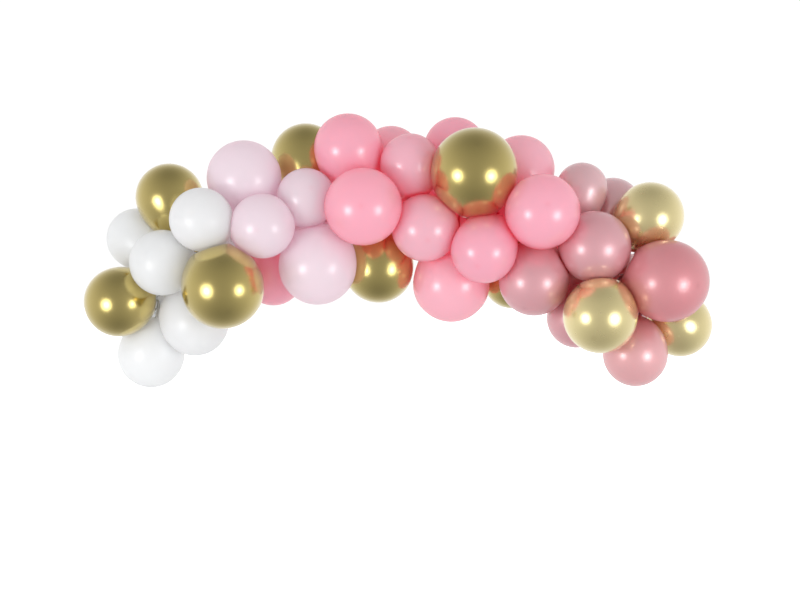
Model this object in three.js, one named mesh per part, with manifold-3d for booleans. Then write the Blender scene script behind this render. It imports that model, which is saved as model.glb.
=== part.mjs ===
// Balloon garland: 48 knotted latex balloons on one flat, clear decorating strip that hangs as a low arch.
// Millimetres, +X to the right along the garland, -Y towards the viewer, +Z up. The origin is on the top
// face of the strip at the crown of the arch, the place where the garland is hung.

import * as THREE from "three";
import { mergeVertices } from "three/addons/utils/BufferGeometryUtils.js";
import Module from "manifold-3d";

const wasm = await Module();
wasm.setup();

// The strip: its section, its holes and the line it hangs in.
const STRIP_WIDTH = 14;
const STRIP_THICKNESS = 0.6;
const HOLE_RADIUS = 4.6;
const HOLE_SIDES = 6;
const HOLE_PITCH = 30;
const HOLES_LEFT_OF_CROWN = 28;
const HOLES_RIGHT_OF_CROWN = 32;
const HANG_HOLE = 12; // from each end of the strip
const CROWN_HALF_FLAT = 95;
const LEFT_END = [-722, -345];
const LEFT_TAB_TOP = [-718, -315];
const LEFT_PULLS = [[-688, -100], [-400, 0]];
const RIGHT_END = [862, -352];
const RIGHT_TAB_TOP = [850, -324.5];
const RIGHT_PULLS = [[450, 0], [756, -105]];
const ARCH_STEPS = 18;

// One balloon: proportions of its body, and the real size of its neck and knot.
const TAIL = 1.12; // centre to the neck end of the body, over the radius
const BODY_ANGLES = [32, 66, 100, 136]; // degrees from the crown of the balloon to each ring of its body
const BODY_COLUMNS = 12;
const NECK_COLUMNS = 6;
const ROOT_RADIUS = 6.5;
const ROOT_LENGTH = 6;
const SHORTEST_NECK = 8;
const BEND_RISE = 9; // the neck turns this far above the strip
const BEND_RADIUS = 4;
const NECK_RADIUS = 3.5;
const COLLAR_RISE = 4;
const KNOT_RADIUS = 6.5;
const KNOT_DROPS = [3.5, 8, 12]; // below the strip: top of the knot, its widest place, its tip

// Room kept between pieces that press on each other.
const CONTACT_GAP = 0.4;
const KNOT_CLEARANCE = 8;
const STRIP_CLEARANCE = 1.5;

const FINISHES = {
  white: { color: 0xf2f2f0, roughness: 0.35, metalness: 0 },
  pale_pink: { color: 0xf3dde6, roughness: 0.3, metalness: 0 },
  pink: { color: 0xff9fb4, roughness: 0.3, metalness: 0 },
  dusty_pink: { color: 0xcf919c, roughness: 0.35, metalness: 0.2 },
  rose: { color: 0xd67f8c, roughness: 0.35, metalness: 0.2 },
  gold: { color: 0x9c8c4c, roughness: 0.25, metalness: 1 },
  pale_gold: { color: 0xbfae70, roughness: 0.35, metalness: 1 },
  strip: { color: 0xeef2f4, roughness: 0.2, metalness: 0 },
};

// The arrangement, from the left end to the right: the finish, the number of the hole that holds the knot,
// the turn round the strip in degrees (0 above it, 90 in front, 180 below, 270 behind), the reach from the
// strip to the centre of the balloon, its diameter, and how far it leans along the strip.
const BALLOONS = [
  ["white", 1, 255, 55, 215, -175],
  ["white", 2, 170, 145, 215, -50],
  ["gold", 3, 30, 105, 220, -115],
  ["white", 4, 280, 130, 210, -55],
  ["white", 5, 340, 170, 195, -10],
  ["white", 6, 75, 55, 205, -15],
  ["gold", 8, 5, 180, 215, 30],
  ["white", 9, 260, 135, 215, -15],
  ["gold", 10, 130, 260, 255, -20],
  ["white", 11, 75, 195, 195, -15],
  ["pale_pink", 14, 265, 95, 210, 20],
  ["pale_pink", 15, 25, 150, 235, 10],
  ["pink", 16, 195, 185, 195, -15],
  ["pale_pink", 17, 100, 180, 200, -25],
  ["pale_pink", 20, 70, 100, 185, 25],
  ["gold", 21, 335, 200, 225, 0],
  ["pale_pink", 22, 265, 115, 220, -15],
  ["pale_pink", 23, 155, 195, 245, -40],
  ["pink", 26, 20, 205, 215, -25],
  ["pink", 27, 90, 185, 240, -5],
  ["pink", 28, 280, 130, 205, -15],
  ["gold", 29, 185, 185, 225, -20],
  ["pink", 30, 340, 190, 195, -10],
  ["pink", 32, 35, 170, 190, -10],
  ["pink", 33, 120, 80, 210, 5],
  ["pink", 34, 265, 135, 215, -10],
  ["pink", 36, 355, 205, 200, 0],
  ["pink", 37, 180, 230, 245, -5],
  ["gold", 38, 55, 210, 270, -5],
  ["pink", 40, 280, 130, 210, -5],
  ["pink", 41, 125, 205, 205, -30],
  ["pink", 43, 355, 170, 215, -20],
  ["gold", 44, 205, 195, 195, 15],
  ["pink", 45, 80, 215, 230, 0],
  ["pink", 46, 275, 120, 215, 0],
  ["dusty_pink", 47, 150, 195, 220, -5],
  ["dusty_pink", 49, 5, 165, 165, -30],
  ["dusty_pink", 50, 85, 75, 225, 25],
  ["dusty_pink", 51, 330, 195, 190, 20],
  ["dusty_pink", 52, 235, 90, 215, 0],
  ["pale_gold", 53, 15, 200, 215, 45],
  ["dusty_pink", 54, 180, 200, 190, 30],
  ["pale_gold", 55, 130, 245, 230, 45],
  ["rose", 56, 65, 175, 255, 95],
  ["rose", 57, 280, 130, 215, 30],
  ["rose", 58, 350, 145, 190, 30],
  ["pale_gold", 59, 325, 95, 205, 145],
  ["rose", 60, 155, 105, 205, 120],
].map(([finish, hole, turn, reach, diameter, lean]) => (
  { finish, hole, turn, reach, radius: diameter / 2, lean }
));

const radians = THREE.MathUtils.degToRad;
const TOWARDS_VIEWER = new THREE.Vector3(0, -1, 0);

// The middle line of the strip: a straight tab, a quarter arch, the flat crown, a quarter arch and a tab.
function stripPath() {
  const point = ([x, z]) => new THREE.Vector3(x, 0, z);
  const crownLeft = point([-CROWN_HALF_FLAT, 0]);
  const crownRight = point([CROWN_HALF_FLAT, 0]);
  const path = new THREE.CurvePath();
  path.add(new THREE.LineCurve3(point(LEFT_END), point(LEFT_TAB_TOP)));
  path.add(new THREE.CubicBezierCurve3(point(LEFT_TAB_TOP), ...LEFT_PULLS.map(point), crownLeft));
  path.add(new THREE.LineCurve3(crownLeft, crownRight));
  path.add(new THREE.CubicBezierCurve3(crownRight, ...RIGHT_PULLS.map(point), point(RIGHT_TAB_TOP)));
  path.add(new THREE.LineCurve3(point(RIGHT_TAB_TOP), point(RIGHT_END)));
  return path;
}

// Where a station along the strip lies, the way the strip runs there, and the way its upper face looks.
function stationAt(path, station) {
  const share = station / path.getLength();
  const along = path.getTangentAt(share);
  const up = new THREE.Vector3(-along.z, 0, along.x);
  return { point: path.getPointAt(share), along, up };
}

// The stations of all the corners of the strip's outline.
function outlineStations(path) {
  const lengths = path.getCurveLengths();
  const [tab, leftArch, crown, rightArch, end] = lengths;
  const arch = (from, to) => Array.from({ length: ARCH_STEPS }, (_, i) => (
    THREE.MathUtils.lerp(from, to, i / ARCH_STEPS)
  ));
  return [0, ...arch(tab, leftArch), ...arch(crown, rightArch), rightArch, end];
}

// The band itself, whose upper face passes through the origin.
function bandGeometry(path) {
  const middle = outlineStations(path).map((station) => stationAt(path, station));
  const edge = ({ point, up }, rise) => new THREE.Vector2(point.x + up.x * rise, point.z + up.z * rise);
  const upper = middle.map((place) => edge(place, 0));
  const lower = middle.map((place) => edge(place, -STRIP_THICKNESS)).reverse();
  const outline = new THREE.Shape([...upper, ...lower]);
  const band = new THREE.ExtrudeGeometry(outline, { depth: STRIP_WIDTH, bevelEnabled: false });
  return band.rotateX(Math.PI / 2).translate(0, STRIP_WIDTH / 2, 0);
}

// A cutter for one hole, square to the strip.
function holeCutter(path, station) {
  const { point, up } = stationAt(path, station);
  const cutter = new THREE.CylinderGeometry(HOLE_RADIUS, HOLE_RADIUS, STRIP_WIDTH / 2, HOLE_SIDES);
  const turn = new THREE.Quaternion().setFromUnitVectors(new THREE.Vector3(0, 1, 0), up);
  return cutter.applyQuaternion(turn).translate(point.x, point.y, point.z);
}

function solidOf(geometry) {
  const bare = geometry.clone();
  bare.deleteAttribute("normal");
  bare.deleteAttribute("uv");
  const merged = mergeVertices(bare, 1e-4);
  return new wasm.Manifold(new wasm.Mesh({
    numProp: 3,
    vertProperties: new Float32Array(merged.attributes.position.array),
    triVerts: new Uint32Array(merged.index.array),
  }));
}

function geometryOf(solid) {
  const { vertProperties, triVerts } = solid.getMesh();
  const geometry = new THREE.BufferGeometry();
  geometry.setAttribute("position", new THREE.BufferAttribute(vertProperties, 3));
  geometry.setIndex(new THREE.BufferAttribute(triVerts, 1));
  geometry.computeVertexNormals();
  return geometry;
}

// The holes are set out from the crown of the arch, which lies midway between two of them.
function holeStation(path, number) {
  const [, leftArch, crown] = path.getCurveLengths();
  return (leftArch + crown) / 2 + (number - HOLES_LEFT_OF_CROWN - 0.5) * HOLE_PITCH;
}

// The punched strip: one hole for each knot, and a hanging hole in each end tab.
function stripGeometry(path) {
  const count = HOLES_LEFT_OF_CROWN + HOLES_RIGHT_OF_CROWN;
  const knotHoles = Array.from({ length: count }, (_, i) => holeStation(path, i + 1));
  const stations = [HANG_HOLE, ...knotHoles, path.getLength() - HANG_HOLE];
  const punched = stations.reduce(
    (band, station) => band.subtract(solidOf(holeCutter(path, station))),
    solidOf(bandGeometry(path)),
  );
  return geometryOf(punched);
}

// The places that one balloon's shape hangs on: its hole, the bend of its neck above the strip, the end of
// its body, its centre, and three directions: out along its axis, and two square to that.
function placeBalloon(path, { hole, turn, reach, radius, lean }) {
  const { point, along, up } = stationAt(path, holeStation(path, hole));
  const side = Math.cos(radians(turn)) >= 0 ? 1 : -1;
  const rise = up.clone().multiplyScalar(side);
  const centre = point.clone()
    .addScaledVector(along, lean)
    .addScaledVector(up, reach * Math.cos(radians(turn)))
    .addScaledVector(TOWARDS_VIEWER, reach * Math.sin(radians(turn)));
  const bend = point.clone().addScaledVector(rise, BEND_RISE);
  const axis = centre.clone().sub(bend).normalize();
  const nearest = TAIL * radius + ROOT_LENGTH + SHORTEST_NECK;
  if (centre.distanceTo(bend) < nearest) centre.copy(bend).addScaledVector(axis, nearest);
  const root = centre.clone().addScaledVector(axis, -(TAIL * radius + ROOT_LENGTH));
  const across = new THREE.Vector3().crossVectors(rise, axis);
  if (across.length() < 0.05) across.copy(TOWARDS_VIEWER);
  across.addScaledVector(axis, -across.dot(axis)).normalize();
  return { centre, radius, point, rise, bend, axis, root, across };
}

// Distance from a balloon's centre to its skin: a ball in front, an egg that runs out to the neck behind.
function skinRadius(radius, angle) {
  const backwards = Math.min(Math.cos(angle), 0);
  return radius / Math.sqrt(Math.sin(angle) ** 2 + (Math.cos(angle) / (backwards < 0 ? TAIL : 1)) ** 2);
}

// A loop of points round an axis.
function ring(centre, axis, across, radius, columns) {
  const other = new THREE.Vector3().crossVectors(axis, across);
  return Array.from({ length: columns }, (_, i) => {
    const angle = (2 * Math.PI * i) / columns;
    return centre.clone()
      .addScaledVector(across, radius * Math.cos(angle))
      .addScaledVector(other, radius * Math.sin(angle));
  });
}

// The plane that parts two balloons: the plane of the circle in which their two spheres meet, moved where
// that keeps the end of each body on its own side.
function contactPlane(own, other) {
  const normal = other.centre.clone().sub(own.centre);
  const distance = normal.length();
  normal.normalize();
  const middle = (distance ** 2 + own.radius ** 2 - other.radius ** 2) / (2 * distance);
  const low = own.root.clone().sub(own.centre).dot(normal) + KNOT_CLEARANCE;
  const high = distance - (other.centre.clone().sub(other.root).dot(normal) + KNOT_CLEARANCE);
  const parted = low <= high ? THREE.MathUtils.clamp(middle, low, high) : middle;
  return { normal, offset: parted - CONTACT_GAP / 2 };
}

// A plane square to the line from a balloon's centre to the nearest place on a neighbour's neck.
function neckPlane(own, from, to, clearance) {
  const nearest = new THREE.Line3(from, to).closestPointToPoint(own.centre, true, new THREE.Vector3());
  const normal = nearest.sub(own.centre);
  const distance = normal.length();
  return { normal: normal.normalize(), offset: distance - clearance };
}

// A plane that keeps a balloon off the strip's nearest edge or face.
function stripPlane(own, corners) {
  const reachY = STRIP_WIDTH / 2;
  const y = THREE.MathUtils.clamp(own.centre.y, -reachY, reachY);
  const planes = corners.slice(1).map((corner, i) => neckPlane(
    own,
    corners[i].clone().setY(y),
    corner.clone().setY(y),
    STRIP_CLEARANCE,
  ));
  return planes.reduce((a, b) => (b.offset < a.offset ? b : a));
}

// All the planes that press on one balloon.
function pressingPlanes(own, all, corners) {
  const others = all.filter((other) => other !== own);
  const close = others.filter((other) => (
    own.centre.distanceTo(other.centre) < TAIL * (own.radius + other.radius)
  ));
  return [
    stripPlane(own, corners),
    ...close.map((other) => contactPlane(own, other)),
    ...others.map((other) => neckPlane(own, other.root, other.bend, KNOT_CLEARANCE)),
    ...others.map((other) => neckPlane(
      own,
      other.bend,
      other.point.clone().addScaledVector(other.rise, -KNOT_DROPS[2]),
      KNOT_CLEARANCE,
    )),
  ];
}

// How far the skin can stand from the centre in one direction before a plane stops it.
function heldDistance(free, direction, planes) {
  const stops = planes.map(({ normal, offset }) => {
    const lean = normal.dot(direction);
    return lean > 0 ? offset / lean : Infinity;
  });
  return Math.min(free, ...stops);
}

// The body: rings round the axis, each point drawn in to where a neighbour presses.
function bodyRings({ centre, radius, axis, across }, planes) {
  const held = (direction, free) => (
    centre.clone().addScaledVector(direction, heldDistance(free, direction, planes))
  );
  const crown = [held(axis, radius)];
  const rings = BODY_ANGLES.map(radians).map((angle) => {
    const middle = axis.clone().multiplyScalar(Math.cos(angle));
    return ring(middle, axis, across, Math.sin(angle), BODY_COLUMNS)
      .map((direction) => held(direction, skinRadius(radius, angle)));
  });
  return [crown, ...rings];
}

// The neck: from the end of the body it runs to the bend, turns down through the hole, and ends in the knot.
function neckRings({ root, axis, across, bend, point, rise }) {
  const down = rise.clone().negate();
  const inwards = axis.clone().negate();
  const halfway = inwards.clone().add(down).normalize();
  const below = (drop) => point.clone().addScaledVector(down, drop);
  const square = (direction, centre, radius) => {
    const level = across.clone().addScaledVector(direction, -across.dot(direction)).normalize();
    return ring(centre, direction.clone().negate(), level, radius, NECK_COLUMNS);
  };
  const [knotTop, knotMiddle, knotTip] = KNOT_DROPS;
  return [
    square(inwards, root, ROOT_RADIUS),
    square(halfway, bend, BEND_RADIUS),
    square(down, below(-COLLAR_RISE), NECK_RADIUS),
    square(down, below(knotTop), NECK_RADIUS),
    square(down, below(knotMiddle), KNOT_RADIUS),
    [below(knotTip)],
  ];
}

// Triangles between two loops: both the same length, one a single point, or the first with twice the points.
function bridge(from, to) {
  const next = (loop, i) => loop[(i + 1) % loop.length];
  if (from.length === 1) return to.flatMap((point, i) => [from[0], point, next(to, i)]);
  if (to.length === 1) return from.flatMap((point, i) => [point, to[0], next(from, i)]);
  if (from.length === to.length) {
    return from.flatMap((point, i) => [point, to[i], next(from, i), next(from, i), to[i], next(to, i)]);
  }
  return to.flatMap((point, i) => [
    from[2 * i], point, from[2 * i + 1],
    from[2 * i + 1], point, next(to, i),
    from[2 * i + 1], next(to, i), next(from, 2 * i + 1),
  ]);
}

function skinGeometry(loops) {
  const corners = loops.slice(1).flatMap((loop, i) => bridge(loops[i], loop));
  const geometry = new THREE.BufferGeometry().setFromPoints(corners);
  const merged = mergeVertices(geometry, 1e-4);
  merged.computeVertexNormals();
  return merged;
}

function finishMaterial(finish) {
  return new THREE.MeshStandardMaterial(FINISHES[finish]);
}

function stripMesh(path) {
  const mesh = new THREE.Mesh(stripGeometry(path), finishMaterial("strip"));
  mesh.name = "decorating_strip";
  return mesh;
}

function balloonMesh(place, all, corners, finish, number) {
  const loops = [...bodyRings(place, pressingPlanes(place, all, corners)), ...neckRings(place)];
  const mesh = new THREE.Mesh(skinGeometry(loops), finishMaterial(finish));
  mesh.name = `balloon_${finish}_${String(number).padStart(2, "0")}`;
  return mesh;
}

function garland() {
  const path = stripPath();
  const corners = outlineStations(path).map((station) => stationAt(path, station).point);
  const places = BALLOONS.map((balloon) => placeBalloon(path, balloon));
  const tally = {};
  const group = new THREE.Group();
  group.add(stripMesh(path));
  places.forEach((place, i) => {
    const { finish } = BALLOONS[i];
    tally[finish] = (tally[finish] ?? 0) + 1;
    group.add(balloonMesh(place, places, corners, finish, tally[finish]));
  });
  return group;
}

const group = garland();

export default group;
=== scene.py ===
"""Looks for the balloon garland: inflated latex skins with their necks and knots, on a clear punched strip.

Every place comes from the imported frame: each balloon's centre, size and neck are read back from the loops of
its CAD skin, and the strip's run from the corners of its CAD outline. Metres, +Z up, -Y towards the viewer.
"""

import bmesh
import bpy
import numpy as np
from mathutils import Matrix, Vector


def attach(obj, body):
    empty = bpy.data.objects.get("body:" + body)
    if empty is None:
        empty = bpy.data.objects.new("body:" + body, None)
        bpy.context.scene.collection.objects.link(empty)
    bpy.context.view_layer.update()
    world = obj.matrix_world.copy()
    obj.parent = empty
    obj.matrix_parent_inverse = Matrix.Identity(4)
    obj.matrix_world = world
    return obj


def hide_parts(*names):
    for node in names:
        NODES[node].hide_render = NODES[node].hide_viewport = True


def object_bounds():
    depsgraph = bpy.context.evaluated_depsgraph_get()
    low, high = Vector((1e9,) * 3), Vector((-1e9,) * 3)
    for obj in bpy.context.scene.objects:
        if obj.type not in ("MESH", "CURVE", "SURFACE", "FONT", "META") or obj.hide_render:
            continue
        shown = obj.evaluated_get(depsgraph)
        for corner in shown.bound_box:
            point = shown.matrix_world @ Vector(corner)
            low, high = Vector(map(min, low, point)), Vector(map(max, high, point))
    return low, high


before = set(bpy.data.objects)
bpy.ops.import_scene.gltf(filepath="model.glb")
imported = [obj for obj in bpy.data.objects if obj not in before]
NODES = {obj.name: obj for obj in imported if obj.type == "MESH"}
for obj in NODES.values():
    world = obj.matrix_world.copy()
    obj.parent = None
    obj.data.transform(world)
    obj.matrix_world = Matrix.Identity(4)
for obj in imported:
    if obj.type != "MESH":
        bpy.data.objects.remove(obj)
CAD_LOW, CAD_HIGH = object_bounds()

# The balloon's body as the CAD skin has it.
TAIL = 1.12  # centre to the neck end of the body, over the radius
ROOT_LENGTH = 0.006  # from there to the root of the neck
WIDEST_LOOPS = {2: np.radians(66), 3: np.radians(100)}  # loops of the CAD body, by their angle from the crown
BODY_LOOPS = 5  # the crown and four loops
COLLAR_RISE = 0.004  # the neck's last loop above the strip, over the hole
KNOT_TIP_DROP = 0.012
SAME_PLACE = 1e-5  # corners this close are one corner
STRIP_EDGE = 1e-4  # corners this close to the strip's edge are on it
NEARLY_ALONG = 0.05  # sine of the angle under which two directions count as one

# The inflated body.
COLUMNS = 96
BODY_ROWS = 70
PEAR = 1.2  # how soon the body narrows towards the neck
CONTACT_GAP = 0.0004
KNOT_ROOM = 0.008
STRIP_ROOM = 0.0015
TAIL_ROOM = 0.002
EDGE_SHARPNESS = 60  # how tightly the skin turns from its free round into a pressed flat
DRAWN_OUT = 0.75  # the share of its neck that a body is drawn out along
CROWN_SPOT = 0.009  # how wide the thick rubber at the crown is
NECK_SPOT = 0.02  # how far from the neck the rubber is still thick

# The neck, the knot and the rolled lip.
NECK_ROWS = 14
ROOT_RADIUS = 0.0068
NECK_RADIUS = 0.0036
NECK_PULL = 0.8  # how far each end's direction holds towards the bend
PLEATS = 7
PLEAT_DEPTH = 0.09
WRAP_HEIGHT = 0.1
WRAP_CLIMB = 900  # turn of the wrap, in radians for each metre down the knot
LIP_WAVES = 3
LIP_FLUTTER = 0.07
LIP_FLOOR = 0.0124  # where the skin closes inside the lip, below the strip
LOOK_AHEAD = 0.001
PHASE_STEP = 2.4  # turns each balloon's pleats from the last one's

# The strip.
HOLE_ROUND = 0.0046
HOLE_STEPS = 24
MERGE_DIGITS = 6  # points of two cells that agree to this many digits are one
STRIP_THICKNESS = 0.0006
MIDDLE_LOOP = 0.4  # where a cell's middle loop lies, from the hole's rim to the cell's border

VIEWER = np.array([0.0, -1.0, 0.0])


# ---------------------------------------------------------------- reading the frame

def cad_skin(node):
    """A CAD node's vertices and edges, with the loose triangles' shared corners merged in a copy."""
    shell = bmesh.new()
    shell.from_mesh(node.data)
    bmesh.ops.remove_doubles(shell, verts=shell.verts, dist=SAME_PLACE)
    shell.verts.index_update()
    points = np.array([vertex.co for vertex in shell.verts])
    edges = np.array([[vertex.index for vertex in edge.verts] for edge in shell.edges])
    shell.free()
    return points, edges


def cad_loops(node):
    """The loops of a balloon's CAD skin, from its crown to the tip of its knot. Loop k holds the vertices
    that are k edges away from the crown, which is the vertex where the most edges meet."""
    points, edges = cad_skin(node)
    touching = np.zeros((len(points), len(points)), bool)
    touching[edges[:, 0], edges[:, 1]] = True
    touching |= touching.T
    reached = np.zeros(len(points), bool)
    front = np.arange(len(points)) == touching.sum(0).argmax()
    loops = []
    while front.any():
        loops.append(points[front])
        reached |= front
        front = touching[front].any(0) & ~reached
    return loops


def unit(vectors):
    """Each vector divided by its own length."""
    return vectors / np.linalg.norm(vectors, axis=-1, keepdims=True)


def balloon_place(node):
    """Where one balloon is. Its axis runs from the bend of the neck to the root of the body. A loop of the
    CAD body is seen from the centre at a known angle, however far it is pressed in, so the centre lies
    (distance from the axis / tan angle) behind each of its vertices, measured along the axis."""
    loops = cad_loops(node)
    root, bend, collar, knot_top = (loop.mean(0) for loop in loops[BODY_LOOPS:BODY_LOOPS + 4])
    rise = unit(collar - knot_top)
    axis = unit(root - bend)
    depths = []
    for number, angle in WIDEST_LOOPS.items():
        spokes = loops[number] - root
        height = spokes @ axis
        width = np.linalg.norm(spokes - height[:, None] * axis, axis=1)
        depths.append(height - width / np.tan(angle))
    depth = np.concatenate(depths).mean()
    hole = collar - rise * COLLAR_RISE
    across = np.cross(rise, axis)
    if np.linalg.norm(across) < NEARLY_ALONG:
        across = VIEWER
    across = unit(across - (across @ axis) * axis)
    return {
        "centre": root + axis * depth,
        "radius": (depth - ROOT_LENGTH) / TAIL,
        "root": root,
        "bend": bend,
        "hole": hole,
        "tip": hole - rise * KNOT_TIP_DROP,
        "rise": rise,
        "axis": axis,
        "across": across,
    }


def strip_run():
    """The corners of the strip's front edge, from the left end to the right: the corners whose Y is least, in
    order of X."""
    points, _ = cad_skin(NODES["decorating_strip"])
    edge = points[points[:, 1] < points[:, 1].min() + STRIP_EDGE]
    order = np.argsort(edge[:, 0])
    return edge[order]


# ---------------------------------------------------------------- what presses on a balloon

def nearest_on(points_from, points_to, target):
    """The place on each segment that is nearest to the target: start + share * run, where share is
    (target - start).run / run.run, kept between 0 and 1."""
    runs = points_to - points_from
    share = ((target - points_from) * runs).sum(-1) / (runs ** 2).sum(-1)
    return points_from + np.clip(share, 0, 1)[:, None] * runs


def contact_planes(own, others):
    """The planes between a balloon and its close neighbours: each is the plane of the circle in which two
    spheres meet, (d*d + r*r - s*s) / (2*d) from the centre, moved where that keeps the ends of both bodies on
    their own sides."""
    spans = np.array([other["centre"] for other in others]) - own["centre"]
    radii = np.array([other["radius"] for other in others])
    distances = np.linalg.norm(spans, axis=1)
    normals = spans / distances[:, None]
    middles = (distances ** 2 + own["radius"] ** 2 - radii ** 2) / (2 * distances)
    tails = np.array([other["root"] - other["centre"] for other in others])
    low = normals @ (own["root"] - own["centre"]) + KNOT_ROOM
    high = distances + (tails * normals).sum(1) - KNOT_ROOM
    parted = np.where(low <= high, np.clip(middles, low, np.maximum(low, high)), middles)
    close = distances < TAIL * (own["radius"] + radii)
    return normals[close], parted[close] - CONTACT_GAP / 2


def clearance_planes(own, starts, ends, room):
    """Planes square to the lines from a balloon's centre to the nearest place on each of some segments, at
    that place's distance less the room it needs."""
    spans = nearest_on(starts, ends, own["centre"]) - own["centre"]
    distances = np.linalg.norm(spans, axis=1)
    return spans / distances[:, None], distances - room


def pressing_planes(own, places, run):
    """All the planes that press on one balloon: its neighbours' bodies and necks, and the strip."""
    others = [place for place in places if place is not own]
    side = np.clip(own["centre"][1], run[:, 1].min(), -run[:, 1].min())
    level = run * [1, 0, 1] + [0, side, 0]
    strip_normals, strip_offsets = clearance_planes(own, level[:-1], level[1:], STRIP_ROOM)
    nearest = strip_offsets.argmin()
    gather = [
        contact_planes(own, others),
        (strip_normals[nearest:nearest + 1], strip_offsets[nearest:nearest + 1]),
    ]
    for start, end in (("root", "bend"), ("bend", "tip")):
        starts = np.array([other[start] for other in others])
        ends = np.array([other[end] for other in others])
        gather.append(clearance_planes(own, starts, ends, KNOT_ROOM))
    normals, offsets = zip(*gather)
    return np.concatenate(normals), np.concatenate(offsets)


# ---------------------------------------------------------------- surfaces

def grid_faces(rows, columns):
    """Faces of a closed skin of some rows of columns, with one more vertex at each end: the first pole is
    vertex 0 and the last is the highest."""
    column = np.arange(columns)
    after = (column + 1) % columns
    starts = 1 + np.arange(rows - 1)[:, None] * columns
    quads = np.stack([
        starts + column, starts + columns + column, starts + columns + after, starts + after,
    ], axis=-1).reshape(-1, 4)
    last = 1 + (rows - 1) * columns
    head = np.stack([np.zeros_like(column), 1 + column, 1 + after], axis=-1)
    tail = np.stack([last + column, np.full_like(column, last + columns), last + after], axis=-1)
    return quads, np.concatenate([head, tail])


def skin_object(name, points, quads, triangles, attributes):
    """An object of some points and faces, smooth all over, with a number at each point for each attribute."""
    mesh = bpy.data.meshes.new(name)
    mesh.from_pydata(points.tolist(), [], quads.tolist() + triangles.tolist())
    for label, values in attributes.items():
        layer = mesh.attributes.new(label, "FLOAT", "POINT")
        layer.data.foreach_set("value", values.astype(np.float32))
    mesh.polygons.foreach_set("use_smooth", np.ones(len(mesh.polygons), bool))
    mesh.update()
    piece = bpy.data.objects.new(name, mesh)
    bpy.context.scene.collection.objects.link(piece)
    return piece


def draw_out(place, planes):
    """Draws the end of a body out along its neck by a set share of the neck's length, or less where a plane
    stands nearer than that: the distance to a plane against the axis is offset / cos(angle between them)."""
    normals, offsets = planes
    length = TAIL * place["radius"] + ROOT_LENGTH
    facing = normals @ -place["axis"]
    room = np.where(facing > 0, offsets / np.maximum(facing, 1e-6), np.inf).min() - TAIL_ROOM
    wanted = length + DRAWN_OUT * np.linalg.norm(place["root"] - place["bend"])
    place["length"] = np.clip(wanted, length, max(length, room))
    place["root"] = place["centre"] - place["length"] * place["axis"]


def body_rows(place, planes):
    """The body, row by row from the crown. Its free outline is a half circle in front, and behind it runs out
    as height L*cos(t), width R*sin(t)**PEAR, an egg that narrows to the root of the neck. Each point is then
    drawn in towards the centre by a soft minimum of the free distance and the distances to the planes,
    d = (sum of distances**-p)**(-1/p)."""
    radius = place["radius"]
    length = place["length"]
    last = np.pi - np.arcsin((ROOT_RADIUS / radius) ** (1 / PEAR))
    turn = np.linspace(0, last, BODY_ROWS + 1)[1:, None]
    behind = turn > np.pi / 2
    height = np.where(behind, length, radius) * np.cos(turn)
    width = radius * np.sin(turn) ** np.where(behind, PEAR, 1)
    angle = np.linspace(0, 2 * np.pi, COLUMNS, endpoint=False)
    other = np.cross(place["axis"], place["across"])
    free = (
        height[..., None] * place["axis"]
        + (width * np.cos(angle))[..., None] * place["across"]
        + (width * np.sin(angle))[..., None] * other
    )
    free = np.concatenate([radius * place["axis"][None], free.reshape(-1, 3)])
    distance = np.linalg.norm(free, axis=1)
    normals, offsets = planes
    presses = np.clip(free / distance[:, None] @ normals.T, 0, None) / offsets
    held = (distance ** -EDGE_SHARPNESS + (presses ** EDGE_SHARPNESS).sum(1)) ** (-1 / EDGE_SHARPNESS)
    points = place["centre"] + free * (held / distance)[:, None]
    widths = np.concatenate([[0], np.repeat(width, COLUMNS)])
    fronts = np.concatenate([[1], np.repeat(~behind, COLUMNS)])
    return points, widths, fronts


def neck_line(place):
    """The neck's middle line from the root of the body to the hole: a cubic curve
    (1-t)^3*A + 3*(1-t)^2*t*B + 3*(1-t)*t^2*C + t^3*D that leaves the body along its axis and goes down
    through the hole."""
    start, bend, hole = place["root"], place["bend"], place["hole"]
    pulls = [start, start + NECK_PULL * (bend - start), hole + NECK_PULL * (bend - hole), hole]
    share = np.linspace(0, 1, NECK_ROWS)[:, None]
    weights = [(1 - share) ** 3, 3 * (1 - share) ** 2 * share, 3 * (1 - share) * share ** 2, share ** 3]
    line = sum(weight * pull for weight, pull in zip(weights, pulls))
    return line[1:], share[1:, 0]


# The knot and the rolled lip under the strip: distance below the strip's face, and radius, both in metres.
KNOT_PROFILE = np.array([
    [0.0012, 0.0036], [0.0024, 0.0040], [0.0036, 0.0053], [0.0050, 0.0063], [0.0066, 0.0067],
    [0.0082, 0.0064], [0.0095, 0.0054], [0.0105, 0.0040], [0.0114, 0.0035], [0.0124, 0.0040],
    [0.0138, 0.0052], [0.0150, 0.0063], [0.0157, 0.0070], [0.0165, 0.0073], [0.0170, 0.0068],
    [0.0168, 0.0061], [0.0160, 0.0056], [0.0148, 0.0046], [0.0134, 0.0034], [0.0126, 0.0018],
])
KNOT_BULGE = slice(2, 7)
LIP = slice(9, 18)


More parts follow.
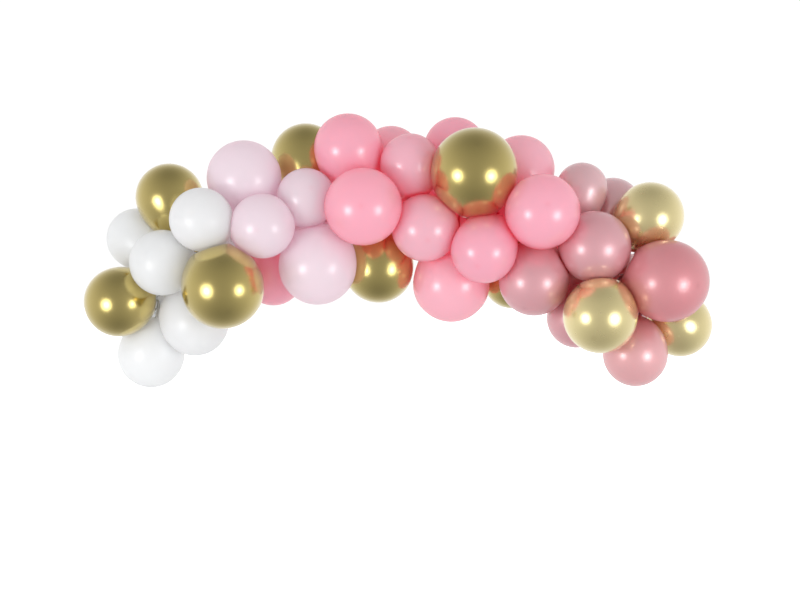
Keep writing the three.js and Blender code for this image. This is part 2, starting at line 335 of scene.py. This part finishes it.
def neck_rows(place, phase):
    """The neck, knot and lip: loops carried down the neck's line and on below the strip. A loop's radius
    shrinks from the root's to the neck's as 1 - (1-t)^3, with pleats that deepen as sin(pi*t) towards the
    bend; the knot carries a wrap, a wave of one turn that climbs across it; the lip flutters in waves."""
    angle = np.linspace(0, 2 * np.pi, COLUMNS, endpoint=False)
    line, share = neck_line(place)
    ease = 1 - (1 - share) ** 3
    radius = ROOT_RADIUS + (NECK_RADIUS - ROOT_RADIUS) * ease
    pleats = 1 + PLEAT_DEPTH * np.sin(np.pi * share)[:, None] * np.cos(PLEATS * angle + phase)
    upper = radius[:, None] * pleats
    drops = KNOT_PROFILE[:, 0]
    lower = np.repeat(KNOT_PROFILE[:, 1:], COLUMNS, axis=1)
    lower[KNOT_BULGE] *= 1 + WRAP_HEIGHT * np.cos(angle + WRAP_CLIMB * drops[KNOT_BULGE, None] + phase)
    lower[LIP] *= 1 + LIP_FLUTTER * np.cos(LIP_WAVES * angle + 2 * phase)
    middles = np.concatenate([line, place["hole"] - drops[:, None] * place["rise"]])
    radii = np.concatenate([upper, lower])
    below = place["hole"] - np.arange(1, 3)[:, None] * place["rise"] * LOOK_AHEAD
    along = np.gradient(np.concatenate([line, below]), axis=0)[:len(line)]
    ahead = np.concatenate([unit(along), np.repeat(-place["rise"][None], len(drops), axis=0)])
    level = unit(place["across"] - (ahead @ place["across"])[:, None] * ahead)
    square = np.cross(-ahead, level)
    points = (
        middles[:, None]
        + (radii * np.cos(angle))[..., None] * level[:, None]
        + (radii * np.sin(angle))[..., None] * square[:, None]
    )
    end = place["hole"] - LIP_FLOOR * place["rise"]
    return np.concatenate([points.reshape(-1, 3), end[None]]), len(middles)


def balloon(name, place, planes, phase, batch):
    """One inflated balloon. Two attributes say where the rubber is thick: "crown", a spot of 9 mm at the
    crown, and "neck", which grows as exp(-width / 20 mm) behind the widest place. "batch" is 1 all over a
    balloon from the paler batch of its colour."""
    body, widths, fronts = body_rows(place, planes)
    tail, rows = neck_rows(place, phase)
    points = np.concatenate([body, tail])
    crown = np.exp(-((widths / CROWN_SPOT) ** 2)) * fronts
    neck = np.exp(-widths / NECK_SPOT) * (1 - fronts)
    attributes = {
        "crown": np.concatenate([crown, np.zeros(len(tail))]),
        "neck": np.concatenate([neck, np.ones(len(tail))]),
        "batch": np.full(len(points), batch),
    }
    quads, triangles = grid_faces(BODY_ROWS + rows, COLUMNS)
    return skin_object(name, points, quads, triangles, attributes)


def hole_stations(points, run, stations):
    """Where the holes lie along the strip's run: the corners that stand in from its edges are gathered into
    holes wherever the next corner is more than a hole's width further on."""
    inner = points[np.abs(points[:, 1]) < np.abs(run[0, 1]) - STRIP_EDGE]
    spans = run[1:] - run[:-1]
    level = (inner * [1, 0, 1])[:, None] - run[None, :-1] * [1, 0, 1]
    share = np.clip((level * spans).sum(-1) / (spans ** 2).sum(-1), 0, 1)
    gaps = np.linalg.norm(level - share[..., None] * spans, axis=-1)
    nearest = gaps.argmin(1)
    along = np.sort(stations[nearest] + share[np.arange(len(inner)), nearest] * np.diff(stations)[nearest])
    breaks = np.flatnonzero(np.diff(along) > 2 * HOLE_ROUND) + 1
    return np.array([(hole.min() + hole.max()) / 2 for hole in np.split(along, breaks)])


def smooth_run(run, stations, wanted):
    """Points on a smooth curve through the corners of the run: cubic Hermite spans,
    (2t^3-3t^2+1)*P + (t^3-2t^2+t)*h*M + (3t^2-2t^3)*Q + (t^3-t^2)*h*N, with slopes M and N from the corners
    on either side."""
    slopes = np.gradient(run, stations, axis=0)
    span = np.clip(np.searchsorted(stations, wanted, side="right") - 1, 0, len(run) - 2)
    length = (stations[span + 1] - stations[span])[:, None]
    t = (wanted - stations[span])[:, None] / length
    return (
        (2 * t ** 3 - 3 * t ** 2 + 1) * run[span] + (t ** 3 - 2 * t ** 2 + t) * length * slopes[span]
        + (3 * t ** 2 - 2 * t ** 3) * run[span + 1] + (t ** 3 - t ** 2) * length * slopes[span + 1]
    )


def make_strip():
    """The punched strip. Each hole has its own cell, which runs halfway to the next hole: a loop of points
    round the hole is joined to a loop round the cell's border, and the face is given its thickness below."""
    node = NODES["decorating_strip"]
    points, _ = cad_skin(node)
    run = strip_run()
    half = np.abs(run[0, 1])
    stations = np.concatenate([[0], np.cumsum(np.linalg.norm(np.diff(run, axis=0), axis=1))])
    holes = hole_stations(points, run, stations)
    borders = np.concatenate([[0], (holes[1:] + holes[:-1]) / 2, stations[-1:]])
    angle = 2 * np.pi * np.arange(HOLE_STEPS) / HOLE_STEPS + np.pi / 4
    loop = np.stack([np.cos(angle), np.sin(angle)], axis=1)
    square = np.clip(loop * np.sqrt(2), -1, 1)
    before, after = (holes - borders[:-1])[:, None], (borders[1:] - holes)[:, None]
    rim = np.stack([
        holes[:, None] + HOLE_ROUND * loop[:, 0],
        np.tile(HOLE_ROUND * loop[:, 1], (len(holes), 1)),
    ], -1)
    border = np.stack([
        holes[:, None] + np.where(square[:, 0] < 0, before, after) * square[:, 0],
        np.tile(half * square[:, 1], (len(holes), 1)),
    ], -1)
    flat = np.stack([rim, rim * (1 - MIDDLE_LOOP) + border * MIDDLE_LOOP, border], axis=1)
    shape = flat.shape[:3]
    numbers = np.arange(np.prod(shape)).reshape(shape)
    ahead = np.roll(numbers, -1, axis=2)
    quads = np.stack([numbers[:, :-1], numbers[:, 1:], ahead[:, 1:], ahead[:, :-1]], -1).reshape(-1, 4)
    flat = flat.reshape(-1, 2)
    _, first, same = np.unique(np.round(flat, MERGE_DIGITS), axis=0, return_index=True, return_inverse=True)
    flat, quads = flat[first], same.reshape(-1)[quads]
    curve = smooth_run(run * [1, 0, 1], stations, flat[:, 0])
    curve[:, 1] = flat[:, 1]
    no_faces = np.empty((0, 3), int)
    strip = skin_object("punched_strip", curve, quads, no_faces, {})
    wall = strip.modifiers.new("thickness", "SOLIDIFY")
    wall.thickness = STRIP_THICKNESS
    wall.offset = -1
    dress(strip, "decorating_strip", clear_plastic("clear_strip"))


# ---------------------------------------------------------------- finishes

ORANGE_PEEL = 4e-6
CROWN_DEPTH = 0.15  # how far the colour goes over to the thick rubber's at the crown
NECK_DEPTH = 0.9
CHROME_CROWN_DEPTH = 0.12
CHROME_NECK_DEPTH = 0.6
DRIFT = 0.25  # how far a skin's colour drifts towards the paler tint
DRIFT_SCALE = 3.2
PEARL_SHEER = 0.22


class Nodes:
    """A material's node tree, with short ways to add and join nodes."""

    def __init__(self, name):
        self.material = bpy.data.materials.new(name)
        self.material.use_nodes = True
        self.tree = self.material.node_tree
        self.shader = self.tree.nodes["Principled BSDF"]
        self.place = self.add("ShaderNodeTexCoord").outputs["Object"]

    def add(self, kind, **settings):
        node = self.tree.nodes.new(kind)
        for key, value in settings.items():
            setattr(node, key, value)
        return node

    def join(self, out, into):
        self.tree.links.new(out, into)

    def noise(self, scale, detail=2.0):
        node = self.add("ShaderNodeTexNoise")
        self.join(self.place, node.inputs["Vector"])
        node.inputs["Scale"].default_value = scale
        node.inputs["Detail"].default_value = detail
        return node.outputs["Fac"]

    def attribute(self, name):
        return self.add("ShaderNodeAttribute", attribute_name=name).outputs["Fac"]

    def spread(self, value, low, high, start=0.3, end=0.7):
        """value from start to end becomes low to high."""
        node = self.add("ShaderNodeMapRange")
        self.join(value, node.inputs["Value"])
        for socket, number in zip(("From Min", "From Max", "To Min", "To Max"), (start, end, low, high)):
            node.inputs[socket].default_value = number
        return node.outputs["Result"]

    def blend(self, share, first, second):
        """A mix of two colours, each a socket or a colour."""
        node = self.add("ShaderNodeMix", data_type="RGBA")
        self.join(share, node.inputs[0])
        for socket, colour in ((6, first), (7, second)):
            if isinstance(colour, tuple):
                node.inputs[socket].default_value = (*colour, 1)
            else:
                self.join(colour, node.inputs[socket])
        return node.outputs[2]

    def bump(self, height, distance):
        node = self.add("ShaderNodeBump")
        self.join(height, node.inputs["Height"])
        node.inputs["Distance"].default_value = distance
        self.join(node.outputs["Normal"], self.shader.inputs["Normal"])

    def let_through(self, share, colour):
        """Part of the light that falls on the skin goes through it."""
        through = self.add("ShaderNodeBsdfTranslucent")
        self.join(colour, through.inputs["Color"])
        mix = self.add("ShaderNodeMixShader")
        mix.inputs["Fac"].default_value = share
        self.join(self.shader.outputs["BSDF"], mix.inputs[1])
        self.join(through.outputs["BSDF"], mix.inputs[2])
        self.join(mix.outputs["Shader"], self.tree.nodes["Material Output"].inputs["Surface"])

    def set(self, **values):
        for key, value in values.items():
            self.shader.inputs[key.replace("_", " ")].default_value = value


def linear(red, green, blue):
    """A colour given in screen values of 0 to 255, as the light it stands for."""
    share = np.array([red, green, blue]) / 255
    light = np.where(share <= 0.04045, share / 12.92, ((share + 0.055) / 1.055) ** 2.4)
    return tuple(float(x) for x in light)


def rubber_colour(nodes, tint, paler, thick, crown_share, neck_share):
    """The stretched skin has its batch's tint, with a slow drift towards the paler one, and deepens to the
    thick rubber's colour at the crown and the neck."""
    share = nodes.add("ShaderNodeMath", operation="MAXIMUM")
    nodes.join(nodes.spread(nodes.noise(DRIFT_SCALE), 0, DRIFT), share.inputs[0])
    nodes.join(nodes.attribute("batch"), share.inputs[1])
    skin = nodes.blend(share.outputs[0], tint, paler)
    crown = nodes.spread(nodes.attribute("crown"), 0, crown_share, 0, 1)
    neck = nodes.spread(nodes.attribute("neck"), 0, neck_share, 0, 1)
    marked = nodes.blend(crown, skin, thick)
    return nodes.blend(neck, marked, thick)


def pastel(name, tint, paler, thick, through, gloss, sheer):
    """Plain latex: a thin skin that lets some light through, with a soft gloss and a faint orange peel."""
    nodes = Nodes(name)
    colour = rubber_colour(nodes, tint, paler, thick, CROWN_DEPTH, NECK_DEPTH)
    nodes.join(colour, nodes.shader.inputs["Base Color"])
    nodes.join(nodes.spread(nodes.noise(40, 2), 0.36, 0.4), nodes.shader.inputs["Roughness"])
    nodes.bump(nodes.noise(500, 2), ORANGE_PEEL)
    nodes.set(Specular_IOR_Level=0.45, Coat_Weight=gloss, Coat_Roughness=0.2, Coat_IOR=2.0)
    passing = nodes.blend(nodes.spread(nodes.attribute("neck"), 0, 1, 0, 1), through, thick)
    nodes.let_through(sheer, passing)
    return nodes.material


def pearl(name, tint, paler, thick, through):
    """Pearl latex: fine mica in the skin gives it a soft metallic lustre under a clear gloss."""
    nodes = Nodes(name)
    colour = rubber_colour(nodes, tint, paler, thick, CROWN_DEPTH, NECK_DEPTH)
    nodes.join(colour, nodes.shader.inputs["Base Color"])
    nodes.join(nodes.spread(nodes.noise(40, 2), 0.42, 0.47), nodes.shader.inputs["Roughness"])
    nodes.bump(nodes.noise(500, 2), ORANGE_PEEL)
    nodes.set(Metallic=0.3, Coat_Weight=1.0, Coat_Roughness=0.2, Coat_IOR=1.9)
    passing = nodes.blend(nodes.spread(nodes.attribute("neck"), 0, 1, 0, 1), through, thick)
    nodes.let_through(PEARL_SHEER, passing)
    return nodes.material


def chrome(name, tint, paler, thick, low, high, metal):
    """Chrome latex: a metal film with a blurred mirror under clear rubber, its roughness varying in soft
    patches.
    """
    nodes = Nodes(name)
    colour = rubber_colour(nodes, tint, paler, thick, CHROME_CROWN_DEPTH, CHROME_NECK_DEPTH)
    nodes.join(colour, nodes.shader.inputs["Base Color"])
    nodes.join(nodes.spread(nodes.noise(25, 3), low, high), nodes.shader.inputs["Roughness"])
    nodes.set(Metallic=metal, Coat_Weight=1.0, Coat_Roughness=0.24, Coat_IOR=1.9)
    return nodes.material


def clear_plastic(name):
    """Clear tape with a faint haze, smooth in some places and rubbed dull in others."""
    nodes = Nodes(name)
    haze = nodes.blend(nodes.spread(nodes.noise(120, 3), 0, 1), linear(244, 247, 248), linear(232, 238, 240))
    nodes.join(haze, nodes.shader.inputs["Base Color"])
    nodes.join(nodes.spread(nodes.noise(400, 4), 0.08, 0.2), nodes.shader.inputs["Roughness"])
    nodes.set(Transmission_Weight=0.85, IOR=1.5)
    return nodes.material


FINISHES = {
    "white": pastel("white_latex", linear(237, 239, 241), linear(234, 236, 239), linear(236, 234, 228),
                    linear(251, 250, 249), 0.2, 0.35),
    "pale_pink": pastel("pale_pink_latex", linear(242, 244, 250), linear(243, 246, 251),
                        linear(246, 190, 206), linear(254, 221, 231), 0.6, 0.45),
    "pink": pastel("pink_latex", linear(255, 207, 230), linear(255, 221, 239), linear(246, 120, 144),
                   linear(255, 153, 164), 1.0, 0.45),
    "dusty_pink": pearl("dusty_pink_pearl_latex", linear(236, 175, 184), linear(243, 203, 209),
                        linear(180, 96, 106), linear(240, 140, 140)),
    "rose": pearl("rose_pearl_latex", linear(229, 148, 156), linear(246, 190, 194), linear(178, 84, 96),
                  linear(235, 120, 120)),
    "gold": chrome("gold_chrome_latex", linear(204, 182, 92), linear(208, 186, 96),
                   linear(150, 122, 54), 0.2, 0.25, 1.0),
    "pale_gold": chrome("pale_gold_chrome_latex", linear(242, 224, 158), linear(245, 228, 164),
                        linear(176, 148, 84), 0.24, 0.28, 0.82),
}
PALER_BATCH = {
    "balloon_pink_05", "balloon_pink_06", "balloon_pink_07", "balloon_pink_10", "balloon_pink_13",
    "balloon_dusty_pink_02", "balloon_dusty_pink_04", "balloon_rose_04",
}


# ---------------------------------------------------------------- the balloons

def dress(piece, node, material):
    """Gives a piece its material, and its place in the frame for the node it stands for."""
    piece.data.materials.append(material)
    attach(piece, "root")
    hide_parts(node)


def make_balloons():
    """Every balloon: first where each is, then what presses on each, and then the skins."""
    names = sorted(name for name in NODES if name.startswith("balloon_"))
    places = [balloon_place(NODES[name]) for name in names]
    run = strip_run()
    presses = [pressing_planes(place, places, run) for place in places]
    for place, planes in zip(places, presses):
        draw_out(place, planes)
    for number, (name, place, planes) in enumerate(zip(names, places, presses)):
        finish, serial = name.removeprefix("balloon_").rsplit("_", 1)
        batch = float(name in PALER_BATCH)
        piece = balloon(f"{finish}_balloon_{serial}", place, planes, PHASE_STEP * number, batch)
        dress(piece, name, FINISHES[finish])


# ---------------------------------------------------------------- the studio

CAMERA_DISTANCE = 5.0
CAMERA_ASIDE = 0.004  # left of the garland's middle
CAMERA_DROP = 0.153  # below it
PICTURE_WIDTH = 2.56  # what the camera takes in at the garland
SENSOR = 36
FLOOR_DROP = 2.3
FLOOR_HALF = 400
POOL = 6  # the floor's painted glow grows to full white over this distance from the garland, running into the backdrop
SPREAD_LIGHT = (0.83, 1.18)  # the soft light on the viewer's side and at the back
MIRRORED_LIGHT = (0.44, 1.1)  # the same as shiny skins reflect it
MIRRORED_FALL = 0.6  # how much darker the reflected studio is straight above and below
BACKDROP = 1.05
LAMP_ASIDE = 2.3
LAMP_FORWARD = 2.4
LAMP_DROP = 0.6
LAMP_WIDTH = 0.8
LAMP_POWER = 12
SCRIM_WIDTH = 1.8
SCRIM_POWER = 18
LEFT_EXTRA = 1  # watts more on the left than in the middle, and fewer on the right
# painted glow: how strongly the floor glows near the garland, before the glow grows to full white far off
FLOOR_GLOW_NEAR = 0.1
FLOOR_ROUGHNESS = 0.9


def sphere_of_light():
    """A soft studio all round, brighter towards the back. Shiny skins mirror it darker above and below, as
    1 - fall*z*z of the direction. What the camera sees of it is plain white."""
    world = bpy.data.worlds.new("studio")
    bpy.context.scene.world = world
    world.use_nodes = True
    world.cycles.sampling_method = "NONE"
    tree = world.node_tree

    def add(kind, *sources, **settings):
        node = tree.nodes.new(kind)
        for key, value in settings.items():
            setattr(node, key, value)
        for socket, source in enumerate(sources):
            if isinstance(source, bpy.types.NodeSocket):
                tree.links.new(source, node.inputs[socket])
            else:
                node.inputs[socket].default_value = source
        return node

    direction = add("ShaderNodeSeparateXYZ", add("ShaderNodeTexCoord").outputs["Generated"]).outputs
    spread = add("ShaderNodeMapRange", direction["Y"], -1, 1, *SPREAD_LIGHT).outputs[0]
    mirrored = add("ShaderNodeMapRange", direction["Y"], -1, 1, *MIRRORED_LIGHT).outputs[0]
    height = add("ShaderNodeMath", direction["Z"], direction["Z"], operation="MULTIPLY").outputs[0]
    fall = add("ShaderNodeMapRange", height, 0, 1, 1, 1 - MIRRORED_FALL).outputs[0]
    dimmed = add("ShaderNodeMath", mirrored, fall, operation="MULTIPLY").outputs[0]
    rays = add("ShaderNodeLightPath").outputs
    lights = add("ShaderNodeMapRange", rays["Is Glossy Ray"], 0, 1, spread, dimmed).outputs[0]
    seen = add("ShaderNodeMapRange", rays["Is Camera Ray"], 0, 1, lights, BACKDROP).outputs[0]
    ground = tree.nodes["Background"]
    tree.links.new(seen, ground.inputs["Color"])


def soft_disc(name, place, target, width, power):
    """A round area lamp that faces its target."""
    light = bpy.data.lights.new(name, "AREA")
    light.shape = "DISK"
    light.size = width
    light.energy = power
    disc = bpy.data.objects.new(name, light)
    disc.location = place
    look = Vector(target) - Vector(place)
    disc.rotation_euler = look.to_track_quat("-Z", "Y").to_euler()
    bpy.context.scene.collection.objects.link(disc)


def make_floor():
    """A pale floor with a painted glow that grows with distance, faint near the garland and full white far
    off, so that it runs into the backdrop with no line. The glow adds no light of its own to the garland,
    which the soft studio lights evenly from below too."""
    mesh = bpy.data.meshes.new("floor")
    corners = [(-1, -1), (1, -1), (1, 1), (-1, 1)]
    points = [(x * FLOOR_HALF, y * FLOOR_HALF, -FLOOR_DROP) for x, y in corners]
    mesh.from_pydata(points, [], [(0, 1, 2, 3)])
    floor = bpy.data.objects.new("floor", mesh)
    bpy.context.scene.collection.objects.link(floor)
    nodes = Nodes("pale_floor")
    reach = nodes.add("ShaderNodeVectorMath", operation="LENGTH")
    nodes.join(nodes.place, reach.inputs[0])
    far = nodes.spread(reach.outputs["Value"], 0, 1, FLOOR_DROP, POOL)
    speck = nodes.blend(nodes.noise(0.4), linear(240, 240, 240), linear(236, 236, 236))
    nodes.join(speck, nodes.shader.inputs["Base Color"])
    # painted glow: the floor's emission grows from faint near the garland to full white far off
    nodes.join(nodes.blend(far, (FLOOR_GLOW_NEAR,) * 3, (1.0,) * 3), nodes.shader.inputs["Emission Color"])
    nodes.set(Roughness=FLOOR_ROUGHNESS, Emission_Strength=1.0)
    floor.data.materials.append(nodes.material)
    floor.visible_diffuse = False
    floor.visible_glossy = False


def studio():
    """The camera, square on to the garland, two soft lamps on either side of it, and the floor."""
    centre = (CAD_LOW + CAD_HIGH) / 2
    view = bpy.data.cameras.new("camera")
    view.sensor_width = SENSOR
    view.lens = SENSOR * CAMERA_DISTANCE / PICTURE_WIDTH
    camera = bpy.data.objects.new("camera", view)
    camera.location = (centre.x - CAMERA_ASIDE, -CAMERA_DISTANCE, centre.z - CAMERA_DROP)
    camera.rotation_euler = (np.radians(90), 0, 0)
    bpy.context.scene.collection.objects.link(camera)
    bpy.context.scene.camera = camera

    sphere_of_light()
    middle = (centre.x, 0, centre.z)
    for side, name in ((-1, "left"), (1, "right")):
        place = (centre.x + side * LAMP_ASIDE, -LAMP_FORWARD, centre.z - LAMP_DROP)
        soft_disc(f"{name}_lamp", place, middle, LAMP_WIDTH, LAMP_POWER - side * LEFT_EXTRA)
        soft_disc(f"{name}_scrim", place, middle, SCRIM_WIDTH, SCRIM_POWER - side * LEFT_EXTRA)
    make_floor()
    bpy.context.scene.view_settings.view_transform = "Standard"


make_balloons()
make_strip()
studio()
